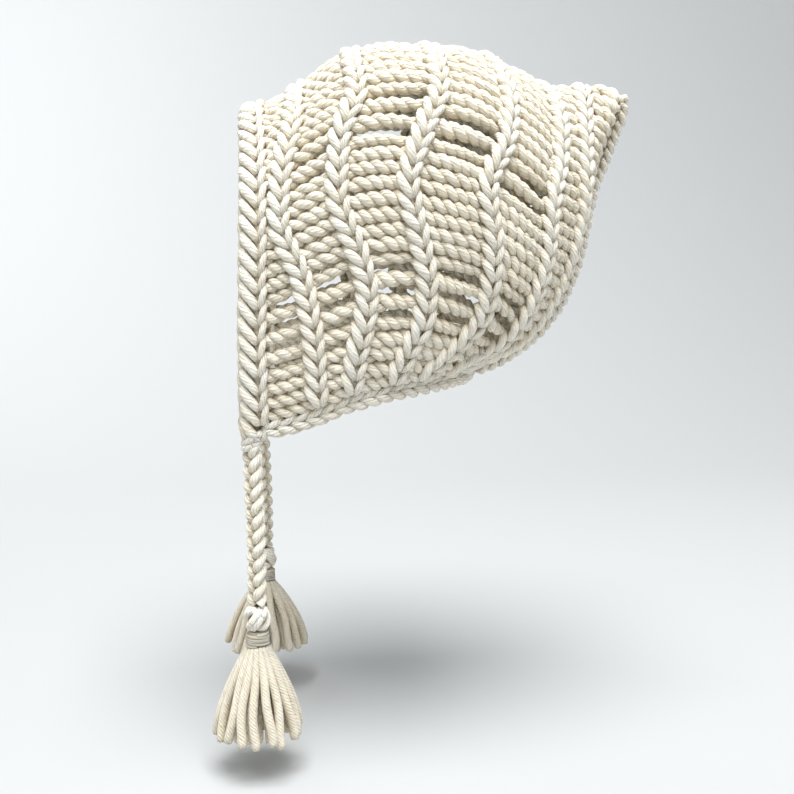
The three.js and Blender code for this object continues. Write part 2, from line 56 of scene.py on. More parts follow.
# The ties. Each is three lengths of undyed plied wool, plaited flat, that leave the lower front corner of the
# hood and hang straight down. The plait is turned a little forwards, so that its face and one edge show.
# Lengths here and below are in millimetres.
TIE_ROUTE = [
    (57.6, -94.4, -207.9),
    (58.8, -93.8, -229),
    (60, -93, -251),
    (60.8, -92.6, -272),
    (61.2, -92.8, -293.5),
]
TIE_STEPS = 150
ROUTE_FINENESS = 20
PLAIT_STRANDS = 3
PLAIT_SIDES = 12
PLAIT_LAY = 22.5
PLAIT_HALF_WIDTH = 3.3
PLAIT_HALF_DEPTH = 1.75
PLAIT_TURN = math.radians(-46)
PLAIT_PLUMPNESS = 1.04
# heights above the plait's heart over which its painted shade fades out, set high so the ties are painted
# darker
PLAIT_RAISED = (1.6, 5.7)
SIDES = {"left": 1, "right": -1}

# The yarn of the whole bonnet has seven plies, is 4.3 mm thick and loosely laid, so that each ply shows as a
# slanting line.
YARN_RADIUS = 2.15
YARN_LAY = 19.0
YARN_PLIES = 7
# the wool's colours: two tones of its own that vary at random, a painted shade for the grooves between the
# plies, and a darker, warmer painted shade for low places between the yarns
WOOL_CREST = "FEFBF3"
WOOL_WARM = "FAF3E4"
WOOL_PAINTED_GROOVE_SHADE = "EDE3CF"
WOOL_PAINTED_SHADE = "D3C5A6"

# The plies stray from their course every 4 mm. Fibres run with them in locks 3 mm long. A real fibre is
# 0.03 mm thick, so they are drawn coarser, in locks 0.7 mm wide. The fleece varies in tone over 18 mm.
PLY_ROUNDNESS = 0.8
PLY_STRAY = 0.05
STRAYS_PER_METRE = 260.0
LOCKS_AROUND = 19.0
LOCKS_PER_LAY = 6.0
LOCK_HEIGHT = 2.2
GROOVE_TO_CREST = (0.9, 2.1)
FLEECES_PER_METRE = 55.0
FLEECE_CONTRAST = (0.3, 0.7)
PAINTED_SHADE_BEND = 0.85
PLY_BUMP = 0.5
LIGHT_REACH = 2.0
MIX_FROM, MIX_TO, MIX_RESULT = 6, 7, 2


def colour(code):
    parts = [int(code[k : k + 2], 16) / 255 for k in (0, 2, 4)]
    return [p / 12.92 if p < 0.04045 else ((p + 0.055) / 1.055) ** 2.4 for p in parts] + [1]


def add_node(tree, kind, settings=None, links=None):
    node = tree.nodes.new(kind)
    for name, value in (settings or {}).items():
        if isinstance(name, int) or name in node.inputs:
            node.inputs[name].default_value = value
        else:
            setattr(node, name, value)
    for name, source in (links or {}).items():
        tree.links.new(source, node.inputs[name])
    return node


# Plied wool, spun and not brushed. It scatters light softly: no gloss and a pale sheen at the edges. Its
# cream base colour carries painted shade, darker in the grooves between the plies and again between the
# yarns.
def plied_material(name, crest, warm, painted_groove_shade, painted_shade, plies):
    material = bpy.data.materials.new(name)
    material.use_nodes = True
    tree = material.node_tree
    shader = tree.nodes["Principled BSDF"]
    place = add_node(tree, "ShaderNodeTexCoord").outputs["Object"]
    yarn = add_node(tree, "ShaderNodeUVMap", {"uv_map": "yarn"})
    parts = add_node(tree, "ShaderNodeSeparateXYZ", None, {0: yarn.outputs["UV"]})
    along, around = parts.outputs["X"], parts.outputs["Y"]
    lay = add_node(tree, "ShaderNodeMath", {"operation": "ADD"}, {0: along, 1: around})

    # no ply keeps its course quite straight
    stray_settings = {"Scale": STRAYS_PER_METRE, "Detail": 1.0}
    stray = add_node(tree, "ShaderNodeTexNoise", stray_settings, {"Vector": place})
    course_settings = {"operation": "MULTIPLY_ADD", 1: PLY_STRAY}
    course_links = {0: stray.outputs["Fac"], 2: lay.outputs[0]}
    course = add_node(tree, "ShaderNodeMath", course_settings, course_links)

    # each ply is a round ridge that winds along the yarn
    turn_settings = {"operation": "MULTIPLY", 1: math.pi * plies}
    turn = add_node(tree, "ShaderNodeMath", turn_settings, {0: course.outputs[0]})
    wave = add_node(tree, "ShaderNodeMath", {"operation": "SINE"}, {0: turn.outputs[0]})
    rise = add_node(tree, "ShaderNodeMath", {"operation": "ABSOLUTE"}, {0: wave.outputs[0]})
    ply_settings = {"operation": "POWER", 1: PLY_ROUNDNESS}
    ply = add_node(tree, "ShaderNodeMath", ply_settings, {0: rise.outputs[0]})

    # the locks of fibres lie along the plies
    across_settings = {"operation": "MULTIPLY", 1: LOCKS_AROUND}
    across = add_node(tree, "ShaderNodeMath", across_settings, {0: course.outputs[0]})
    down_settings = {"operation": "MULTIPLY", 1: LOCKS_PER_LAY}
    down = add_node(tree, "ShaderNodeMath", down_settings, {0: along})
    lock_place = add_node(tree, "ShaderNodeCombineXYZ", None, {0: across.outputs[0], 1: down.outputs[0]})
    lock_settings, lock_links = {"Scale": 1.0, "Detail": 3.0}, {"Vector": lock_place.outputs[0]}
    lock = add_node(tree, "ShaderNodeTexNoise", lock_settings, lock_links)
    hair_settings = {"operation": "MULTIPLY", 1: LOCK_HEIGHT}
    hair = add_node(tree, "ShaderNodeMath", hair_settings, {0: lock.outputs["Fac"]})
    height_links = {0: ply.outputs[0], 1: hair.outputs[0]}
    height = add_node(tree, "ShaderNodeMath", {"operation": "ADD"}, height_links)
    depth_settings = {"From Min": GROOVE_TO_CREST[0], "From Max": GROOVE_TO_CREST[1]}
    depth = add_node(tree, "ShaderNodeMapRange", depth_settings, {"Value": height.outputs[0]})

    # the fleece itself varies over a centimetre or two
    fleece_settings = {"Scale": FLEECES_PER_METRE, "Detail": 2.0}
    fleece = add_node(tree, "ShaderNodeTexNoise", fleece_settings, {"Vector": place})
    tone_settings = {"From Min": FLEECE_CONTRAST[0], "From Max": FLEECE_CONTRAST[1]}
    tone = add_node(tree, "ShaderNodeMapRange", tone_settings, {"Value": fleece.outputs["Fac"]})
    body_settings = {"data_type": "RGBA", MIX_FROM: colour(crest), MIX_TO: colour(warm)}
    body = add_node(tree, "ShaderNodeMix", body_settings, {"Factor": tone.outputs["Result"]})
    # painted shade in the grooves between the plies: where the ply is low, the colour turns to the groove
    # shade colour; the fibre locks vary it at random as their own tone
    plied_settings = {"data_type": "RGBA", MIX_FROM: colour(painted_groove_shade)}
    plied_links = {"Factor": depth.outputs["Result"], MIX_TO: body.outputs[MIX_RESULT]}
    plied = add_node(tree, "ShaderNodeMix", plied_settings, plied_links)

    # painted shade: where a yarn lies low between two yarns, its colour turns to the warmer, darker painted
    # shade colour, standing in for light that has met wool on its way down there and comes back warmer and
    # darker
    raised = add_node(tree, "ShaderNodeAttribute", {"attribute_name": "raised"})
    painted_shade_mask_settings = {"operation": "POWER", 1: PAINTED_SHADE_BEND}
    painted_shade_mask = add_node(tree, "ShaderNodeMath", painted_shade_mask_settings, {0: raised.outputs["Fac"]})
    shaded_settings = {"data_type": "RGBA", MIX_FROM: colour(painted_shade)}
    shaded_links = {"Factor": painted_shade_mask.outputs[0], MIX_TO: plied.outputs[MIX_RESULT]}
    shaded = add_node(tree, "ShaderNodeMix", shaded_settings, shaded_links)
    tree.links.new(shaded.outputs[MIX_RESULT], shader.inputs["Base Color"])

    bump_settings = {"Strength": 0.95, "Distance": PLY_BUMP / 1000}
    bump = add_node(tree, "ShaderNodeBump", bump_settings, {"Height": height.outputs[0]})
    tree.links.new(bump.outputs["Normal"], shader.inputs["Normal"])
    shader.inputs["Roughness"].default_value = 0.95
    shader.inputs["Specular IOR Level"].default_value = 0.15
    shader.inputs["Sheen Weight"].default_value = 0.25
    shader.inputs["Sheen Roughness"].default_value = 0.6
    # a loose yarn lets light through its outer two millimetres
    shader.inputs["Subsurface Weight"].default_value = 0.35
    shader.inputs["Subsurface Radius"].default_value = (1.0, 0.85, 0.7)
    shader.inputs["Subsurface Scale"].default_value = LIGHT_REACH / 1000
    return material


wool = plied_material("undyed_plied_wool", WOOL_CREST, WOOL_WARM, WOOL_PAINTED_GROOVE_SHADE, WOOL_PAINTED_SHADE, YARN_PLIES)


def unit(vectors):
    return vectors / np.maximum(np.linalg.norm(vectors, axis=-1, keepdims=True), 1e-9)


def lengths(points):
    steps = np.linalg.norm(np.diff(points, axis=-2), axis=-1)
    return np.concatenate([np.zeros(steps.shape[:-1] + (1,)), np.cumsum(steps, axis=-1)], axis=-1)


# A smooth curve through a few corners, told as evenly spaced points.
def smooth_route(corners, count):
    corners = np.asarray(corners, float)
    padded = np.vstack([2 * corners[0] - corners[1], corners, 2 * corners[-1] - corners[-2]])
    points = []
    for k in range(1, len(padded) - 2):
        a, b, c, d = padded[k - 1 : k + 3]
        for t in np.linspace(0, 1, ROUTE_FINENESS, endpoint=False):
            bend = (2 * a - 5 * b + 4 * c - d) * t**2 + (3 * b - a - 3 * c + d) * t**3
            points.append(0.5 * (2 * b + (c - a) * t + bend))
    points = np.array(points + [corners[-1]])
    whole = lengths(points)
    at = np.linspace(0, whole[-1], count)
    return np.stack([np.interp(at, whole, points[:, k]) for k in range(3)], axis=-1)


# A ring of points round every point of every route. The first ring starts on its upper side, or on its right
# side where the yarn itself is steep, and the others follow without a twist.
STEEP = 0.8


def yarn_rings(routes, radius, sides):
    ahead = unit(np.gradient(routes, axis=1))
    outer = np.zeros_like(routes)
    level = np.abs(ahead[:, 0, 2:]) < STEEP
    first = np.where(level, np.array([[0.0, 0, 1]]), np.array([[1.0, 0, 0]]))
    for k in range(routes.shape[1]):
        square = first - np.sum(first * ahead[:, k], axis=1, keepdims=True) * ahead[:, k]
        outer[:, k] = first = unit(square)
    beside = np.cross(ahead, outer)
    angle = 2 * math.pi * np.arange(sides) / sides
    ring = np.cos(angle)[:, None] * outer[:, :, None] + np.sin(angle)[:, None] * beside[:, :, None]
    return routes[:, :, None] + radius[:, :, None, None] * ring


# How far each point is raised, from 0 to 1 between two heights above the heart, outwards or all round. The
# material paints shade by it: the lower the point, the nearer its colour to the painted shade colour.
def yarn_raised(points, yarn):
    above = points - np.asarray(yarn["heart"], float)[..., None, :]
    if "up" in yarn:
        above = np.sum(above * np.asarray(yarn["up"], float)[..., None, :], axis=-1)
    else:
        above = np.linalg.norm(above, axis=-1)
    low, high = yarn["raised"]
    return np.clip((np.abs(above) - low) / (high - low), 0, 1)


# One object out of many lengths of yarn. Each entry is a stack of routes with equal numbers of points, the
# yarn's radius there and its sides. The yarn map runs in turns of lay along and once around, and the routes
# of a stack start at different turns.
STACK_TURNS = 7


def yarn_object(name, yarns, material, lay=YARN_LAY):
    vertices, faces, places, heights = [], [], [], []
    count = 0
    for yarn in yarns:
        routes, sides = np.asarray(yarn["routes"], float), yarn["sides"]
        stack, steps = routes.shape[:2]
        radius = np.broadcast_to(np.asarray(yarn["radius"], float), (stack, steps))
        points = yarn_rings(routes, radius, sides)
        vertices.append(points.reshape(-1, 3))
        heights.append(yarn_raised(points, yarn).ravel())

        number = count + np.arange(stack * steps * sides).reshape(stack, steps, sides)
        turned = np.roll(number, -1, axis=2)
        wall = np.stack([number[:, :-1], turned[:, :-1], turned[:, 1:], number[:, 1:]], axis=-1)
        along = lengths(routes) / lay + np.linspace(0, STACK_TURNS, stack)[:, None]
        map_along = np.broadcast_to(along[:, :, None], number.shape)
        map_around = np.broadcast_to(np.arange(sides) / sides, number.shape)
        near = np.stack([map_along, map_around], axis=-1)
        next_side = np.stack([map_along, map_around + 1 / sides], axis=-1)
        wall_map = np.stack([near[:, :-1], next_side[:, :-1], next_side[:, 1:], near[:, 1:]], axis=3)
        faces.extend(wall.reshape(-1, 4).tolist())
        places.append(wall_map.reshape(-1, 2))

        # both ends are closed
        faces.extend(number[:, 0, ::-1].tolist())
        places.append(near[:, 0, ::-1].reshape(-1, 2))
        faces.extend(number[:, -1].tolist())
        places.append(near[:, -1].reshape(-1, 2))
        count += number.size
    mesh = bpy.data.meshes.new(name)
    mesh.from_pydata((np.concatenate(vertices) / 1000).tolist(), [], faces)
    layer = mesh.uv_layers.new(name="yarn")
    layer.data.foreach_set("uv", np.concatenate(places).astype(np.float32).ravel())
    # the material paints shade by this height
    raised = mesh.attributes.new("raised", "FLOAT", "POINT")
    raised.data.foreach_set("value", np.concatenate(heights).astype(np.float32))
    mesh.shade_smooth()
    piece = bpy.data.objects.new(name, mesh)
    bpy.context.scene.collection.objects.link(piece)
    piece.data.materials.append(material)
    return piece


tie_ends = {}
for name, side in SIDES.items():
    route = smooth_route([(side * x, y, z) for x, y, z in TIE_ROUTE], TIE_STEPS)
    ahead = unit(np.gradient(route, axis=0))
    face = np.array([side * math.cos(PLAIT_TURN), math.sin(PLAIT_TURN), 0])
    edge = unit(np.cross(ahead, face))
    face = np.cross(edge, ahead)
    strands = []
    for k in range(PLAIT_STRANDS):
        turn = 2 * math.pi * (lengths(route) / PLAIT_LAY + k / PLAIT_STRANDS)
        sway = PLAIT_HALF_WIDTH * np.sin(turn)[:, None] * edge
        lift = PLAIT_HALF_DEPTH * np.sin(2 * turn)[:, None] * face
        strands.append(route + sway - lift)
    plait = {
        "routes": strands,
        "radius": YARN_RADIUS * PLAIT_PLUMPNESS,
        "sides": PLAIT_SIDES,
        "heart": [route] * PLAIT_STRANDS,
        "raised": PLAIT_RAISED,
    }
    tie = yarn_object(f"tie_{name}_plait", [plait], wool)
    tie_ends[name] = route[-1]
    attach(tie, "root")
    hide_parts(f"tie_{name}")

# The knots. Each tie ends in one tight overhand knot of its own yarns, drawn into a ball. On it two yarns run
# side by side, twice round and through three lobes, over a stuffing of the same yarn.
KNOT_DIAMETER = 14.6
KNOT_HEIGHT = 14
KNOT_GAP = 0.3
KNOT_STEPS = 121
KNOT_SIDES = 10
KNOT_LOBES = 3
KNOT_ROUNDS = 2
KNOT_DIP = 0.38
KNOT_FLATNESS = 0.95
KNOT_RAISED = (3.8, 6.8)
LANES = (-0.6, 0.6)
LANE_SHIFTS = {"lobe": 0.3, "round": 0.9, "rise": 0.55}
STUFFING_RADIUS = 3.6
STUFFING_STEPS = 8
STUFFING_INSET = 1
STUFFING_TAPER = 0.5
# the stuffing lies wholly below this range, so it is drawn all in the painted shade colour
STUFFING_RAISED = (8, 9)

for name, side in SIDES.items():
    top = tie_ends[name] - (0, 0, KNOT_GAP)
    middle = top - (0, 0, KNOT_HEIGHT / 2)
    reach = KNOT_DIAMETER / 2 - YARN_RADIUS
    rise = (KNOT_HEIGHT / 2 - YARN_RADIUS) * KNOT_FLATNESS
    t = np.linspace(0, 2 * math.pi, KNOT_STEPS)
    loops = []
    for lane in LANES:
        out = (1 - KNOT_DIP + KNOT_DIP * np.cos(KNOT_LOBES * t + LANE_SHIFTS["lobe"] * lane)) * reach
        angle = KNOT_ROUNDS * t + LANE_SHIFTS["round"] * lane
        z = -KNOT_HEIGHT / 2 + rise * np.sin(KNOT_LOBES * t + LANE_SHIFTS["rise"] * lane)
        loops.append(top + np.stack([side * out * np.cos(angle), out * np.sin(angle), z], axis=-1))
    loops = np.array(loops)
    ball = {
        "routes": loops,
        "radius": YARN_RADIUS,
        "sides": KNOT_SIDES,
        "heart": np.broadcast_to(middle, loops.shape),
        "raised": KNOT_RAISED,
    }
    down = np.linspace(STUFFING_INSET, KNOT_HEIGHT - STUFFING_INSET, STUFFING_STEPS)
    inside = top - down[:, None] * (0, 0, 1)
    swell = np.sin(np.linspace(STUFFING_TAPER, math.pi - STUFFING_TAPER, STUFFING_STEPS))
    stuffing = {
        "routes": [inside],
        "radius": STUFFING_RADIUS * swell,
        "sides": KNOT_SIDES,
        "heart": [inside],
        "raised": STUFFING_RAISED,
    }
    knot = yarn_object(f"knot_{name}", [ball, stuffing], wool)
    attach(knot, "root")
    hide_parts(f"tie_knot_{name}")

# The thread wraps. A thin strand split from the same wool is wound five times, tight and flat, round the
# neck of each tassel and tucked in.
WRAP_DIAMETER = 12.6
WRAP_HEIGHT = 7.6
WRAP_TURNS = 5
WRAP_STEPS_PER_TURN = 40
WRAP_WAVER = {"by": 0.18, "rate": 3.1}
WRAP_SLIP = {"by": 0.3, "rate": 1.37}
THREAD_RADIUS = 0.85
THREAD_SIDES = 8
THREAD_LAY = 3
THREAD_PLIES = 3
THREAD_RAISED = (5.3, 6.1)
# the thread's own two tones, then its painted shade for the ply grooves and its painted shade low between
# turns
THREAD_CREST = "F4ECDC"
THREAD_WARM = "EBE0CB"
THREAD_PAINTED_GROOVE_SHADE = "D9CBB0"
THREAD_PAINTED_SHADE = "BFB094"
# the neck inside the turns is coloured partly towards the painted shade colour by its height range
WOUND_NECK = {"radius": 5.2, "sides": 20, "steps": 4, "above": 0.2, "short": 0.4, "raised": (0, 10)}

# Wound so hard, the wool has less loft and looks a shade duller than the yarn.
thread = plied_material(
    "tight_wool_thread", THREAD_CREST, THREAD_WARM, THREAD_PAINTED_GROOVE_SHADE, THREAD_PAINTED_SHADE, THREAD_PLIES
)
for name, side in SIDES.items():
    top = tie_ends[name] - (0, 0, KNOT_GAP * 2 + KNOT_HEIGHT)
    t = np.linspace(0, 1, WRAP_STEPS_PER_TURN * WRAP_TURNS + 1)
    angle = 2 * math.pi * WRAP_TURNS * t
    waver = WRAP_WAVER["by"] * np.sin(WRAP_WAVER["rate"] * angle + side)
    radius = WRAP_DIAMETER / 2 - THREAD_RADIUS + waver
    slip = WRAP_SLIP["by"] * np.sin(angle * WRAP_SLIP["rate"])
    down = -THREAD_RADIUS - (WRAP_HEIGHT - 2 * THREAD_RADIUS) * t + slip
    winding = top + np.stack([radius * np.cos(angle), radius * np.sin(angle), down], axis=-1)
    axis = winding * (0, 0, 1) + top * (1, 1, 0)
    turns = {
        "routes": [winding],
        "radius": THREAD_RADIUS,
        "sides": THREAD_SIDES,
        "heart": [axis],
        "raised": THREAD_RAISED,
    }
    down = np.linspace(WOUND_NECK["above"], WOUND_NECK["short"] - WRAP_HEIGHT, WOUND_NECK["steps"])
    inside = top + down[:, None] * (0, 0, 1)
    neck = {
        "routes": [inside],
        "radius": WOUND_NECK["radius"],
        "sides": WOUND_NECK["sides"],
        "heart": [inside],
        "raised": WOUND_NECK["raised"],
    }
    wrap = yarn_object(f"thread_wrap_{name}", [turns, neck], thread, THREAD_LAY)
    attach(wrap, "root")
    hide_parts(f"tassel_wrap_{name}")

# The tassels. The yarns of the plait and more of the same go on below the wrap, cut off bluntly at about five
# centimetres, and fan out into a skirt of two rings with a few in the middle.
TASSEL_SIZES = {"left": {"length": 53, "spread": 24.5}, "right": {"length": 48, "spread": 27}}
TASSEL_RINGS = [
    {"yarns": 17, "out": 1.0, "top": 4.4, "short": 0.0},
    {"yarns": 11, "out": 0.68, "top": 2.6, "short": 1.0},
    {"yarns": 5, "out": 0.3, "top": 1.0, "short": 2.0},
]
TASSEL_STEPS = 26
TASSEL_SIDES = 12
TASSEL_LAY = 13.0
# heights over which the tassel's painted shade fades out, set wide so the whole tassel is painted darker
TASSEL_RAISED = (2.0, 7.8)
TASSEL_HEART = 3.2
FIRST_YARN = 0.3
ANGLE_SCATTER = 0.22
REACH_SCATTER = (0.88, 1.02)
CUT_SCATTER = (0.2, 3)
# how a yarn's way out is shared between a slant and a curve, and how much that shortens its fall
SLANT_AND_CURVE = (0.3, 0.7)
SLANT_SHORTENS = 0.8
SWING = {"by": 0.07, "waves": 1.1}
# a yarn is squeezed by the wrap at its start, frays thicker downwards, and is pinched at the cut
SQUEEZE = {"to": 0.72, "over": 0.18}
FRAY = {"from": 1.02, "by": 0.14}
CUT = {"to": 0.78, "over": 0.04}

chance = np.random.default_rng(7)
for name in SIDES:
    top = tie_ends[name] - (0, 0, KNOT_GAP * 3 + KNOT_HEIGHT + WRAP_HEIGHT)
    size = TASSEL_SIZES[name]
    t = np.linspace(0, 1, TASSEL_STEPS)
    curve = SLANT_AND_CURVE[0] * t + SLANT_AND_CURVE[1] * np.sin(math.pi / 2 * t)
    squeezed = SQUEEZE["to"] + (1 - SQUEEZE["to"]) * np.clip(t / SQUEEZE["over"], 0, 1)
    cut = CUT["to"] + (1 - CUT["to"]) * np.clip((1 - t) / CUT["over"], 0, 1) ** 0.5
    radius = YARN_RADIUS * squeezed * cut * (FRAY["from"] + FRAY["by"] * t)
    yarns, outs = [], []
    for ring in TASSEL_RINGS:
        for k in range(ring["yarns"]):
            scatter = chance.uniform(-ANGLE_SCATTER, ANGLE_SCATTER)
            angle = 2 * math.pi * (k + scatter) / ring["yarns"] + FIRST_YARN
            reach = ring["out"] * (size["spread"] - YARN_RADIUS) * chance.uniform(*REACH_SCATTER)
            yarn_length = size["length"] - ring["short"] - chance.uniform(*CUT_SCATTER)
            fall = math.sqrt(yarn_length**2 - SLANT_SHORTENS * reach**2)
            out = ring["top"] + (reach - ring["top"]) * curve
            wave = 2 * math.pi * SWING["waves"] * t + chance.uniform(0, 6)
            swung = angle + SWING["by"] * np.sin(wave) * t
            place = np.stack([out * np.cos(swung), out * np.sin(swung), -fall * t], axis=-1)
            yarns.append(top + place)
            outs.append(unit(place * (1, 1, 0)))
    yarns, outs = np.array(yarns), np.array(outs)
    skirt = {
        "routes": yarns,
        "radius": radius,
        "sides": TASSEL_SIDES,
        "heart": yarns - TASSEL_HEART * outs,
        "up": outs,
        "raised": TASSEL_RAISED,
    }
    tassel = yarn_object(f"tassel_{name}_skirt", [skirt], wool, TASSEL_LAY)
    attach(tassel, "root")
    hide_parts(f"tassel_{name}")

# Each tie's route worked out again, in metres and in coarser steps; nothing here uses it. Its knot, wrap and
# tassel, made above, hang from its lower end.
CORD_STEPS = 25

for name, side in SIDES.items():
    route = smooth_route([(side * x, y, z) for x, y, z in TIE_ROUTE], CORD_STEPS) / 1000

# The rows of tall stitches. Each stitch is a post across its row: two lengths of yarn wound round each other
# and round a third, which makes a row of soft humps. Loose stretches leave holes that widen backwards.
POST_STEPS = 22
POST_SIDES = 8
POST_LAY = 12.8
POST_PITCH = 1.05
POST_SPAN = {"start": 0.03, "length": 0.94}
POST_BOW = 0.035
# heights over which the posts' painted shade fades out
POST_RAISED = (0.3, 5.0)
HOLE_FRONT = 0.08
HOLE_REAR = 0.26
# posts are a little wider than their room, so that they press on each other, and plumper where it is wide
POST_HALF_WIDTHS = (2.2, 5.6)
POST_CROWDING = (1.08, 1.16)
POST_PLUMPNESS = (1.06, 1.16)
POST_WIDE = {"from": 4.2, "by": 0.3}
POST_THICKEST = 0.66
POST_LEAST_SWING = 0.5
POST_MOST_LIFT = 1.7
# how deep they lie in the wall: their ends dip under the ridges, and on the crown they lie a little deeper
POST_RISE = 0.3
POST_DIP = 0.5
POST_SUNK = 0.9
CROWN_SHARPNESS = 4
LAY_SCATTER = (0.88, 1.14)
SLACK_SCATTER = (0.2, 0.7)
# the third yarn, in coarser steps, lies a little below the other two and fills the room between them; it is
# coloured mostly in painted shade
POST_CORE = {"every": 3, "sides": 6, "below": 0.4, "inside": 0.5}
POST_CORE_RADII = (0.8, 3.0)
POST_CORE_RAISED = (2.0, 5.5)

# The rows lie on the hood's form, the same as the frame's: cross sections of its outer face from the face
# edge to the tip, and how far back the panel's edge and each raised ridge run at ten heights from the neck
# edge to the top fold.
SECTION_COLUMNS = ("y", "low", "top", "half", "low_half", "crown", "jaw")
SECTIONS = np.array([
    (-91.5, -199, -28.5, 66.5, 60, 2.3, 1.8),
    (-76, -195.5, -21.5, 70, 62, 2.3, 1.8),
    (-58, -190, -9, 73, 64, 2.3, 1.8),
    (-40, -183, 2.5, 76, 64, 2.3, 1.8),
    (-20, -178.5, 6, 77, 60, 2.3, 1.8),
    (0, -175.5, 6, 76.5, 52, 2.3, 1.8),
    (15, -173.5, 6, 74, 38, 2.2, 1.9),
    (25, -172.5, 4.8, 71, 20, 2.1, 2.2),
    (30, -172, 3.8, 69, 0, 2.1, 2.5),
    (45, -167, -1.8, 62.5, 0, 2, 2.5),
    (60, -157.5, -7.5, 53, 0, 1.9, 2.4),
    (71, -147, -12.5, 44, 0, 1.8, 2.2),
    (80, -135.5, -13, 36.5, 0, 1.7, 2.1),
    (87, -121, -12.7, 30, 0, 1.6, 2),
    (93, -103, -12.4, 24, 0, 1.5, 2),
    (97, -82, -12.2, 20, 0, 1.5, 2),
    (100, -68, -12, 17, 0, 1.5, 2),
    (105, -54, -12.5, 13.5, 0, 1.5, 2),
    (110, -41, -13.5, 10.5, 0, 1.6, 2),
    (114, -31, -16, 8, 0, 1.8, 2),
    (116.5, -24, -20, 5, 0, 2, 2),
])
TURNS = (0, 1 / 16, 1 / 8, 3 / 16, 1 / 4, 3 / 8, 1 / 2, 5 / 8, 3 / 4, 1)
RIDGES = [
    (-89.5, -90, -90, -90, -89.5, -89, -89, -89.5, -90.5, -91.3),
    (-59, -60, -61, -63.5, -67, -78, -76, -71.5, -70, -69),
    (-42.5, -40, -36, -34, -38.5, -49, -47, -38.5, -39.5, -40.5),
    (-22, -13, -5, -4, -7, -13.5, -5, 4, 3.5, 2.5),
    (-8, 13, 27, 30, 30.5, 27.5, 39.5, 43, 39.5, 37),
    (6, 39, 52.5, 59, 63, 65.5, 72, 74, 73, 69.5),
    (18, 54, 68, 76.5, 81.5, 88, 89.5, 90.5, 92, 94.5),
]
# how many stitches each stretch of a row has from the neck edge to the top fold, and how wide each of them is
STRETCHES = {"neck": (7, 0.6), "ear": (4, 1.5), "temple": (6, 1.0), "crown": (4, 1.5), "top": (8, 1.05)}
# between which stitches of a row a hole stands open, counted from the neck edge
HOLES = {
    1: [7, 8, 9, 10],
    2: [7, 8, 9, 10, 17, 18, 19],
    3: [8, 9, 10, 18, 19, 20],
    4: [8, 9, 10, 18, 19],
    5: [8, 9, 10, 17, 18],
}
ROWS = 7
NAPE_Y = 30
WIDEST_HEIGHT = 0.45
WALL = 6.0
LINE_STEPS = 160
PROBE = 0.06
ON_FOLD = 0.01
FOLD = sum(stitches for stitches, pitch in STRETCHES.values())
STITCH_MARKS = np.cumsum([0] + [stitches for stitches, pitch in STRETCHES.values()])
PITCH_MARKS = np.cumsum([0] + [stitches * pitch for stitches, pitch in STRETCHES.values()])


# Reads between the entries of a table along a smooth line that never overshoots them.
def read_table(keys, values, at):
    keys, values = np.asarray(keys, float), np.asarray(values, float)
    chord = np.diff(values) / np.diff(keys)
    before, after = chord[:-1], chord[1:]
    total = np.where(before * after > 0, before + after, 1)
    inner = np.where(before * after > 0, 2 * before * after / total, 0)
    slope = np.concatenate([chord[:1], inner, chord[-1:]])
    at = np.clip(at, keys[0], keys[-1])
    k = np.clip(np.searchsorted(keys, at) - 1, 0, len(keys) - 2)
    span = keys[k + 1] - keys[k]
    t = (at - keys[k]) / span
    bend = t * (1 - t) * ((1 - t) * slope[k] - t * slope[k + 1]) * span
    return values[k] + t * t * (3 - 2 * t) * (values[k + 1] - values[k]) + bend


def section(column, y):
    return read_table(SECTIONS[:, 0], SECTIONS[:, SECTION_COLUMNS.index(column)], y)


def half_width(y, z):
    low = section("low", y)
    height = np.clip((z - low) / (section("top", y) - low), 0, 1)
    half, low_half = section("half", y), section("low_half", y)
    crown, jaw = section("crown", y), section("jaw", y)
    up = np.clip((height - WIDEST_HEIGHT) / (1 - WIDEST_HEIGHT), 0, 1)
    down = np.clip((WIDEST_HEIGHT - height) / WIDEST_HEIGHT, 0, 1)
    upper = half * (1 - up**crown) ** (1 / crown)
    lower = low_half + (half - low_half) * (1 - down**jaw) ** (1 / jaw)
    return np.where(height >= WIDEST_HEIGHT, upper, lower)


def neck_height(y):
    return section("low", np.minimum(y, NAPE_Y))


# The turn tells how high a place lies, from 0 at the neck edge to 1 at the top fold.
def turn_of_height(y, z):
    neck = neck_height(y)
    return np.arcsin(np.clip((z - neck) / (section("top", y) - neck), 0, 1)) / (math.pi / 2)


def height_of_turn(y, turn):
    neck = neck_height(y)
    return neck + np.sin(math.pi / 2 * turn) * (section("top", y) - neck)


def hood_line(y, z, x):
    share = lengths(np.stack([x, y, z], axis=-1))
    return share / share[-1], y, turn_of_height(y, z)


def ridge_line(ridge):
    turn = np.linspace(0, 1, LINE_STEPS + 1)
    y = read_table(TURNS, ridge, turn)
    neck, top = neck_height(ridge[0]), section("top", ridge[-1])
    z = neck + np.sin(math.pi / 2 * turn) * (top - neck)
    return hood_line(y, z, half_width(y, z))


def seam_line():
    turn = np.linspace(0, 1, LINE_STEPS + 1)
    y = NAPE_Y + (SECTIONS[-1, 0] - NAPE_Y) * np.sin(math.pi / 2 * turn)
    z = section("low", y)
    z[-1] = section("top", y[-1])
    return hood_line(y, z, 0 * y)


LINES = [ridge_line(ridge) for ridge in RIDGES] + [seam_line()]


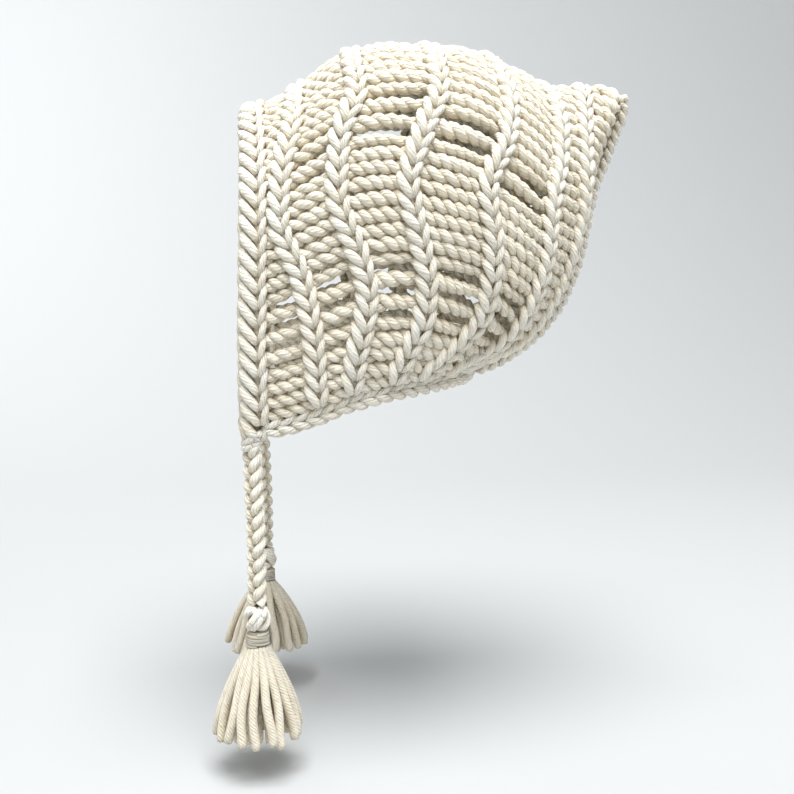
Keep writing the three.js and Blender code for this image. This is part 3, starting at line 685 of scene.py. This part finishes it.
# A place on the hood. Rows count from the face edge to the back seam, and stitches from the left neck edge
# over the top fold to the right neck edge.
def hood_place(row, stitch):
    row, stitch = np.broadcast_arrays(np.asarray(row, float), np.asarray(stitch, float))
    folded = np.where(stitch > FOLD, 2 * FOLD - stitch, stitch)
    share = np.interp(folded, STITCH_MARKS, PITCH_MARKS / PITCH_MARKS[-1])
    before = np.clip(np.floor(row).astype(int), 0, ROWS - 1)[None]
    t = row - before[0]
    between = []
    for part in (1, 2):
        on_lines = np.stack([np.interp(share, line[0], line[part]) for line in LINES])
        front = np.take_along_axis(on_lines, before, 0)[0]
        rear = np.take_along_axis(on_lines, before + 1, 0)[0]
        between.append(front * (1 - t) + rear * t)
    y, turn = between
    z = height_of_turn(y, turn)
    x = np.where((folded >= FOLD) | (row >= ROWS), 0, half_width(y, z))
    return np.stack([np.where(stitch > FOLD, -x, x), y, z], axis=-1)


def hood_outward(row, stitch):
    row, stitch = np.broadcast_arrays(np.asarray(row, float), np.asarray(stitch, float))
    folded = np.where(stitch > FOLD, 2 * FOLD - stitch, stitch)
    in_row = np.clip(row, PROBE, ROWS - PROBE)
    in_stitch = np.clip(folded, PROBE, FOLD - PROBE)
    across = hood_place(in_row + PROBE, in_stitch) - hood_place(in_row - PROBE, in_stitch)
    along = hood_place(in_row, in_stitch + PROBE) - hood_place(in_row, in_stitch - PROBE)
    normal = np.cross(across, along)
    normal[..., 0] = np.where((np.abs(folded - FOLD) < ON_FOLD) | (row >= ROWS), 0, normal[..., 0])
    normal[..., 0] *= np.where(stitch > FOLD, -1, 1)
    return unit(normal)


def stitch_of_pitch(pitch):
    return np.interp(pitch, PITCH_MARKS, STITCH_MARKS)


def pitch_of_stitch(stitch):
    return np.interp(stitch, STITCH_MARKS, PITCH_MARKS)


# Where each post of a row lies, and whether there is a hole below or above it.
def post_bounds(row):
    holes = HOLES.get(row, [])
    stops = [0, *holes, FOLD]
    bounds = []
    for low, high in zip(stops[:-1], stops[1:]):
        start, end = pitch_of_stitch(low), pitch_of_stitch(high)
        count = max(1, round((end - start) / POST_PITCH))
        marks = stitch_of_pitch(np.linspace(start, end, count + 1))
        for k in range(count):
            below = k == 0 and low in holes
            above = k == count - 1 and high in holes
            bounds.append((marks[k], marks[k + 1], below, above))
    mirrored = [(2 * FOLD - b, 2 * FOLD - a, above, below) for a, b, below, above in bounds[::-1]]
    return bounds + mirrored


chance = np.random.default_rng(11)
for row in range(1, ROWS + 1):
    ropes = {"routes": [], "radius": [], "sides": POST_SIDES, "heart": [], "up": [], "raised": POST_RAISED}
    cores = {"routes": [], "radius": [], "sides": POST_CORE["sides"], "heart": [], "up": []}
    cores["raised"] = POST_CORE_RAISED
    for low, high, below, above in post_bounds(row):
        t = np.linspace(0, 1, POST_STEPS)
        across = row - 1 + POST_SPAN["start"] + POST_SPAN["length"] * t
        opening = HOLE_FRONT + (HOLE_REAR - HOLE_FRONT) * t
        low_side = low + (opening if below else 0 * t)
        high_side = high - (opening if above else 0 * t)
        bow = POST_BOW * (high - low) * np.sin(math.pi * t * chance.uniform(1, 2)) * chance.choice([-1, 1])
        middle = (low_side + high_side) / 2 + bow
        half = np.linalg.norm(hood_place(across, high_side) - hood_place(across, low_side), axis=-1) / 2
        line = hood_place(across, middle)
        up = hood_outward(across, middle)
        ahead = unit(np.gradient(line, axis=0))
        aside = unit(np.cross(ahead, up))

        half = np.clip(half, *POST_HALF_WIDTHS) * chance.uniform(*POST_CROWDING)
        plump = YARN_RADIUS * chance.uniform(*POST_PLUMPNESS)
        plump = plump + POST_WIDE["by"] * np.maximum(half - POST_WIDE["from"], 0)
        radius = np.minimum(plump, POST_THICKEST * half)
        swing = np.maximum(half - radius, POST_LEAST_SWING * radius)
        lift = np.minimum(swing, POST_MOST_LIFT)
        dip = POST_DIP * np.cos(2 * math.pi * t)[:, None]
        on_crown = POST_SUNK * np.clip(up[:, 2:], 0, 1) ** CROWN_SHARPNESS
        axis = line - up * (WALL / 2 - POST_RISE + dip + on_crown)

        phase = chance.uniform(0, 2 * math.pi)
        lay = POST_LAY * chance.uniform(*LAY_SCATTER)
        slack = chance.uniform(*SLACK_SCATTER) * np.sin(2 * math.pi * t + chance.uniform(0, 6))
        for half_turn in (0, math.pi):
            turn = phase + half_turn + 2 * math.pi * lengths(line) / lay + slack
            offset = (lift * np.cos(turn))[:, None] * up + (swing * np.sin(turn))[:, None] * aside
            ropes["routes"].append(axis + offset)
            ropes["radius"].append(radius)
            ropes["heart"].append(axis)
            ropes["up"].append(up)
        core_axis, core_up, core_swing = (part[:: POST_CORE["every"]] for part in (axis, up, swing))
        cores["routes"].append(core_axis - core_up * POST_CORE["below"])
        cores["radius"].append(np.clip(core_swing - POST_CORE["inside"], *POST_CORE_RADII))
        cores["heart"].append(core_axis)
        cores["up"].append(core_up)
    piece = yarn_object(f"stitches_{row}", [ropes, cores], wool)
    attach(piece, "root")
    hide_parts(f"row_{row}")

# The ridges. The tops of each row's stitches stand out from the hood as a chain of V shapes, with a plump
# front arm and a thinner rear one, over the butted ends of the posts.
RIDGE_PITCH = 8.4
RIDGE_START = 0.25
RIDGE_STEPS = 160
RIDGE_SUNK = 2.4
RIDGE_ARMS = [
    {"reach": 1.45, "radius": 2.4, "aside": (-5.6, -4.9, -3.3, -1.5, 0), "height": (-2, 0.9, 1.7, 1, -1.4)},
    {"reach": 1.35, "radius": 1.85, "aside": (4, 3.6, 2.8, 1.9, 0.9), "height": (-1.8, 0.9, 1.6, 1.1, -1.2)},
]
ARM_STEPS = 11
ARM_SIDES = 8
ARM_THIN_ENDS = 0.8
ARM_SHIFT = 0.3
ARM_SWAY = 0.25
ARM_LIFT = 0.2
ARM_PLUMPNESS = (0.95, 1.06)
CORE_STEPS = 160
CORE_SIDES = 8
CORE_SHADE = 2.6


# A track follows an edge or a ridge: its places, its outward direction and a sideways direction, told by
# length along it.
def make_track(points, outwards, sideways):
    ahead = unit(np.gradient(points, axis=0))
    aside = unit(np.cross(outwards, ahead))
    if np.sum(aside * np.asarray(sideways)) < 0:
        aside = -aside
    return {"length": lengths(points), "place": points, "up": outwards, "aside": aside}


def read_track(track, part, along):
    return np.stack([np.interp(along, track["length"], track[part][:, k]) for k in range(3)], axis=-1)


def on_track(track, along, aside, height):
    sideways = unit(read_track(track, "aside", along)) * aside[..., None]
    upwards = unit(read_track(track, "up", along)) * height[..., None]
    return read_track(track, "place", along) + sideways + upwards


# A chain is a line of links laid on a track. Each link has one arm for every row of the table, which tells
# the arm's places across and above the track, and each arm passes under the next link.
def chain(track, pitch, arms, heart, raised):
    whole = track["length"][-1]
    count = round(whole / pitch)
    pitch = whole / count
    t = np.linspace(0, 1, ARM_STEPS)
    taper = ARM_THIN_ENDS + (1 - ARM_THIN_ENDS) * np.sin(math.pi * t)
    yarns = []
    for arm in arms:
        keys = np.linspace(0, 1, len(arm["aside"]))
        yarn = {"routes": [], "radius": [], "sides": ARM_SIDES, "heart": [], "up": [], "raised": raised}
        for k in range(count):
            along = (k + arm["reach"] * (1 - t)) * pitch + chance.uniform(-ARM_SHIFT, ARM_SHIFT)
            aside = read_table(keys, arm["aside"], t) + chance.uniform(-ARM_SWAY, ARM_SWAY)
            height = read_table(keys, arm["height"], t) + chance.uniform(-ARM_LIFT, ARM_LIFT)
            yarn["routes"].append(on_track(track, along, aside, height))
            yarn["heart"].append(on_track(track, along, aside, height * 0 + heart))
            yarn["up"].append(unit(read_track(track, "up", along)))
            yarn["radius"].append(arm["radius"] * chance.uniform(*ARM_PLUMPNESS) * taper)
        yarns.append(yarn)
    return yarns


# The yarn that the links are worked over. It fills the chain and hardly shows, and is coloured more than
# halfway to the painted shade colour.
def hidden_core(track, aside, height, radius, trim=0):
    spread = np.linspace(trim, track["length"][-1] - trim, CORE_STEPS)
    line = on_track(track, spread, np.full(CORE_STEPS, aside), np.full(CORE_STEPS, height))
    shade = (0, CORE_SHADE * radius)
    return {"routes": [line], "radius": radius, "sides": CORE_SIDES, "heart": [line], "raised": shade}


for ridge in range(1, ROWS):
    stitch = stitch_of_pitch(np.linspace(RIDGE_START, PITCH_MARKS[-1], RIDGE_STEPS))
    stitch = np.concatenate([stitch, 2 * FOLD - stitch[-2::-1]])
    # over the crown of the hood the chain lies flatter
    outwards = hood_outward(ridge, stitch)
    sunk = RIDGE_SUNK * np.clip(outwards[:, 2:], 0, 1) ** CROWN_SHARPNESS
    track = make_track(hood_place(ridge, stitch) - sunk * outwards, outwards, (0, 1, 0))
    # the ridges' painted shade fades out lower than the posts', so the ridges are painted lighter
    yarns = chain(track, RIDGE_PITCH, RIDGE_ARMS, heart=-1.5, raised=(-0.2, 4.9))
    yarns.append(hidden_core(track, aside=0, height=-2.6, radius=2.6))
    piece = yarn_object(f"ridge_chain_{ridge}", yarns, wool)
    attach(piece, "root")
    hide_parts(f"ridge_{ridge}")

# The face border. A chain is worked round the edge of the face opening, inside and outside alike, over a
# core of yarn, and its lower ends run on past the neck edge into the ties.
BORDER_DROP = 8.4
BORDER_STEPS = 200
BORDER_CORE_TRIM = 7
FACE_PITCH = 8.6
FACE_ARMS = [
    {"reach": 1.55, "radius": 2.65, "aside": (-8.6, -7.9, -5.7, -2.9, -1.2)},
    {"reach": 1.4, "radius": 1.8, "aside": (3.4, 3.2, 2.6, 1.7, 0.6)},
    {"reach": 1.6, "radius": 2.0, "aside": (-8.6, -9.3, -9.5, -8.9, -8.0)},
]
FACE_OUTER_HEIGHTS = [
    (-1.8, 0.5, 1.6, 1.5, -0.8),
    (-1.8, 0.9, 1.6, 1.2, -0.8),
    (-3.6, -2.8, -1.9, -1.0, -0.9),
]
FACE_INNER_HEIGHTS = [
    (-4.2, -6.5, -7.6, -7.5, -5.2),
    (-4.2, -6.9, -7.6, -7.2, -5.2),
    (-2.4, -3.2, -4.1, -5.0, -5.1),
]

stitch = stitch_of_pitch(np.linspace(0, PITCH_MARKS[-1], BORDER_STEPS))
stitch = np.concatenate([stitch, 2 * FOLD - stitch[-2::-1]])
edge = hood_place(0, stitch)
outwards = hood_outward(0, stitch)
drop = np.array([0, 0, -BORDER_DROP])
edge = np.concatenate([[edge[0] + drop], edge, [edge[-1] + drop]])
outwards = np.concatenate([outwards[:1], outwards, outwards[-1:]])
face_track = make_track(edge, outwards, (0, 1, 0))
outer_arms = [{**arm, "height": height} for arm, height in zip(FACE_ARMS, FACE_OUTER_HEIGHTS)]
inner_arms = [{**arm, "height": height} for arm, height in zip(FACE_ARMS, FACE_INNER_HEIGHTS)]
yarns = chain(face_track, FACE_PITCH, outer_arms, heart=-3, raised=(0.6, 6.6))
yarns += chain(face_track, FACE_PITCH, inner_arms, heart=-3, raised=(1.0, 7.2))
yarns.append(hidden_core(face_track, aside=-6.2, height=-3, radius=3.5, trim=BORDER_CORE_TRIM))
yarns.append(hidden_core(face_track, aside=-1, height=-3, radius=2.9, trim=BORDER_CORE_TRIM))

# At each corner the yarns of the tie are drawn through the border and loop twice round its end.
CORNER_STEPS = 41
CORNER_SIDES = 10
CORNER_RAISED = (0.5, 7)
CORNER_LOOPS = [
    {"rise": 2.4, "reach": 4.1, "width": 4.6, "tilt": 2.6, "roll": 0.4, "back": 1.0},
    {"rise": -0.9, "reach": 3.4, "width": 4.0, "tilt": 2.0, "roll": -0.4, "back": 0.4},
]

loops, hearts = [], []
t = np.linspace(0, 2 * math.pi, CORNER_STEPS)
x, y, z = TIE_ROUTE[0]
for side in SIDES.values():
    for loop in CORNER_LOOPS:
        middle = y + loop["back"]
        level = z + loop["rise"] - loop["tilt"] * np.sin(t) + loop["roll"] * np.cos(t)
        out, behind = side * (x + loop["reach"] * np.cos(t)), middle - loop["width"] * np.sin(t)
        loops.append(np.stack([out, behind, level], axis=-1))
        hearts.append(np.stack([0 * t + side * x, 0 * t + middle, level], axis=-1))
corners = {"routes": loops, "radius": YARN_RADIUS, "sides": CORNER_SIDES, "heart": hearts}
corners["raised"] = CORNER_RAISED
yarns.append(corners)
piece = yarn_object("face_border_chain", yarns, wool)
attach(piece, "root")
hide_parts("face_border")

# The neck border. A flatter chain closes the ends of the rows along the neck edge, from one front corner
# round the nape to the other.
NECK_PITCH = 7.6
NECK_STEPS = 240
NECK_INSET = 0.02
NECK_ARMS = [
    {"reach": 1.6, "radius": 1.9, "aside": (-0.6, -0.1, 0.9, 1.9, 2.5), "height": (-2.2, -0.2, 0.8, 0.6, -1)},
    {"reach": 1.6, "radius": 2.35, "aside": (6.8, 6.8, 6, 4.6, 3), "height": (-4, -1.8, 0.2, 0.9, -0.8)},
    {"reach": 1.6, "radius": 2, "aside": (-1.8, -1, 0.4, 1.8, 2.6), "height": (-4.6, -6.2, -7.2, -6.8, -5.2)},
]

row = np.linspace(NECK_INSET, ROWS - NECK_INSET, NECK_STEPS)
left = hood_place(row, 0)
outwards = hood_outward(row, 0)
outwards[:, 2] = 0
outwards = unit(outwards)
flip = np.array([-1, 1, 1])
neck_edge = np.concatenate([left, left[::-1] * flip])
neck_track = make_track(neck_edge, np.concatenate([outwards, outwards[::-1] * flip]), (0, 0, -1))
yarns = chain(neck_track, NECK_PITCH, NECK_ARMS, heart=-3, raised=(0.8, 6.4))
yarns.append(hidden_core(neck_track, aside=3.2, height=-3, radius=3))
piece = yarn_object("neck_border_chain", yarns, wool)
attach(piece, "root")
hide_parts("neck_border")

# The back seam. The two side edges of the panel are whipped together from the nape to the tip, so a line of
# short slanting stitches lies over the join.
SEAM_PITCH = 5.6
SEAM_STEPS = 200
SEAM_INSETS = (0.2, 0.05)
SEAM_BULGE = 2.6
SEAM_GATHER = 1.4
SEAM_ARMS = [{"reach": 1.5, "radius": 2, "aside": (-5, -3.2, 0, 3.2, 5), "height": (-2, 1.4, 3, 1.4, -2)}]

stitch = stitch_of_pitch(np.linspace(SEAM_INSETS[0], PITCH_MARKS[-1] - SEAM_INSETS[1], SEAM_STEPS))
outwards = hood_outward(ROWS, stitch)
# both edges are gathered a little towards the nape, so the join bulges there
bulge = SEAM_BULGE * np.clip(-SEAM_GATHER * outwards[:, 2:], 0, 1)
seam_track = make_track(hood_place(ROWS, stitch) + bulge * outwards, outwards, (-1, 0, 0))
yarns = chain(seam_track, SEAM_PITCH, SEAM_ARMS, heart=-1.5, raised=(-1.5, 4.2))
yarns.append(hidden_core(seam_track, aside=0, height=-2.8, radius=3))
piece = yarn_object("seam_stitches", yarns, wool)
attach(piece, "root")
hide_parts("back_seam")

# The floor. Matt backdrop paper, rolled out flat just below the tassels and swept up into a wall behind. It
# is pale grey and so rough that it has hardly any gloss, with a faint grain of one millimetre.
FLOOR_HEIGHT = -0.385
FLOOR_SIZE = 7.0
SWEEP_START = -0.75
SWEEP_RADIUS = 1.3
SWEEP_STEPS = 24
WALL_HEIGHT = 0.6
REAR_EDGE = SWEEP_START + 0.01
PAPER_COLOUR = "BDBFC0"
GRAINS_PER_METRE = 900.0
GRAIN_HEIGHT = 0.3

bpy.ops.mesh.primitive_plane_add(size=FLOOR_SIZE, location=(SWEEP_START + FLOOR_SIZE / 2, 0, FLOOR_HEIGHT))
floor = bpy.context.object
floor.name = "studio_sweep"
bpy.ops.object.transform_apply(location=True, rotation=True, scale=True)
for border in floor.data.edges:
    border.select = all(floor.data.vertices[v].co.x < REAR_EDGE for v in border.vertices)
for corner in floor.data.vertices:
    corner.select = corner.co.x < REAR_EDGE
for sheet in floor.data.polygons:
    sheet.select = False
bpy.ops.object.mode_set(mode="EDIT")
bpy.ops.mesh.select_mode(type="EDGE")
sweep_middle = (SWEEP_START, 0, FLOOR_HEIGHT + SWEEP_RADIUS)
bpy.ops.mesh.spin(steps=SWEEP_STEPS, angle=-math.pi / 2, center=sweep_middle, axis=(0, 1, 0))
bpy.ops.mesh.extrude_region_move(TRANSFORM_OT_translate={"value": (0, 0, WALL_HEIGHT)})
bpy.ops.mesh.select_all(action="SELECT")
bpy.ops.mesh.normals_make_consistent(inside=False)
bpy.ops.object.mode_set(mode="OBJECT")
if floor.data.polygons[0].normal.z < 0:
    floor.data.flip_normals()
floor.data.shade_smooth()

paper = bpy.data.materials.new("matt_backdrop_paper")
paper.use_nodes = True
paper_tree = paper.node_tree
paper_shader = paper_tree.nodes["Principled BSDF"]
paper_place = add_node(paper_tree, "ShaderNodeTexCoord").outputs["Object"]
grain = add_node(paper_tree, "ShaderNodeTexNoise", {"Scale": GRAINS_PER_METRE}, {"Vector": paper_place})
press_settings = {"Strength": 0.05, "Distance": GRAIN_HEIGHT / 1000}
press = add_node(paper_tree, "ShaderNodeBump", press_settings, {"Height": grain.outputs["Fac"]})
paper_tree.links.new(press.outputs["Normal"], paper_shader.inputs["Normal"])
paper_shader.inputs["Base Color"].default_value = colour(PAPER_COLOUR)
paper_shader.inputs["Roughness"].default_value = 0.95
floor.data.materials.append(paper)

# The light. One large soft light hangs high over the left side of the bonnet, and a small one brightens the
# wall beyond its face edge. The pale studio round them is dimmer behind the bonnet than in front of its face.
# each light's name, its place, what it aims at, its width in metres and its watts
LIGHTS = [
    ("key_light", (0.75, 0.0, 1.9), (0, -0.01, -0.15), 1.4, 84),
    ("backdrop_light", (-0.9, -1.0, 0.95), (-2.05, -0.75, 0.15), 0.8, 12),
]
# the studio's tones by direction, mixed one after another; None stands for what is mixed so far
STUDIO_TONES = [
    {"axis": "Y", "from": "E2E5E4", "to": "989A9B", "between": (-0.4, 0.4)},
    {"axis": "Z", "from": "BCBEBF", "to": None, "between": (-0.05, 0.2)},
    {"axis": "X", "from": None, "to": "B4B6B7", "between": (-0.3, 0.5)},
]

for name, place, aim, width, watts in LIGHTS:
    aim_turn = (Vector(aim) - Vector(place)).to_track_quat("-Z", "Y").to_euler()
    bpy.ops.object.light_add(type="AREA", location=place, rotation=aim_turn)
    lamp = bpy.context.object
    lamp.name = name
    lamp.data.size = width
    lamp.data.energy = watts

studio = bpy.data.worlds.new("pale_studio")
studio.use_nodes = True
studio_tree = studio.node_tree
way = add_node(studio_tree, "ShaderNodeTexCoord")
way_parts = add_node(studio_tree, "ShaderNodeSeparateXYZ", None, {0: way.outputs["Generated"]})
so_far = None
for tone in STUDIO_TONES:
    step_settings = {"From Min": tone["between"][0], "From Max": tone["between"][1]}
    step_links = {"Value": way_parts.outputs[tone["axis"]]}
    step = add_node(studio_tree, "ShaderNodeMapRange", step_settings, step_links)
    mix_settings, mix_links = {"data_type": "RGBA"}, {"Factor": step.outputs["Result"]}
    for socket, code in ((MIX_FROM, tone["from"]), (MIX_TO, tone["to"])):
        if code is None:
            mix_links[socket] = so_far
        else:
            mix_settings[socket] = colour(code)
    so_far = add_node(studio_tree, "ShaderNodeMix", mix_settings, mix_links).outputs[MIX_RESULT]
studio_tree.links.new(so_far, studio_tree.nodes["Background"].inputs["Color"])
studio_tree.nodes["Background"].inputs["Strength"].default_value = 1.0
bpy.context.scene.world = studio
bpy.context.scene.view_settings.view_transform = "Standard"
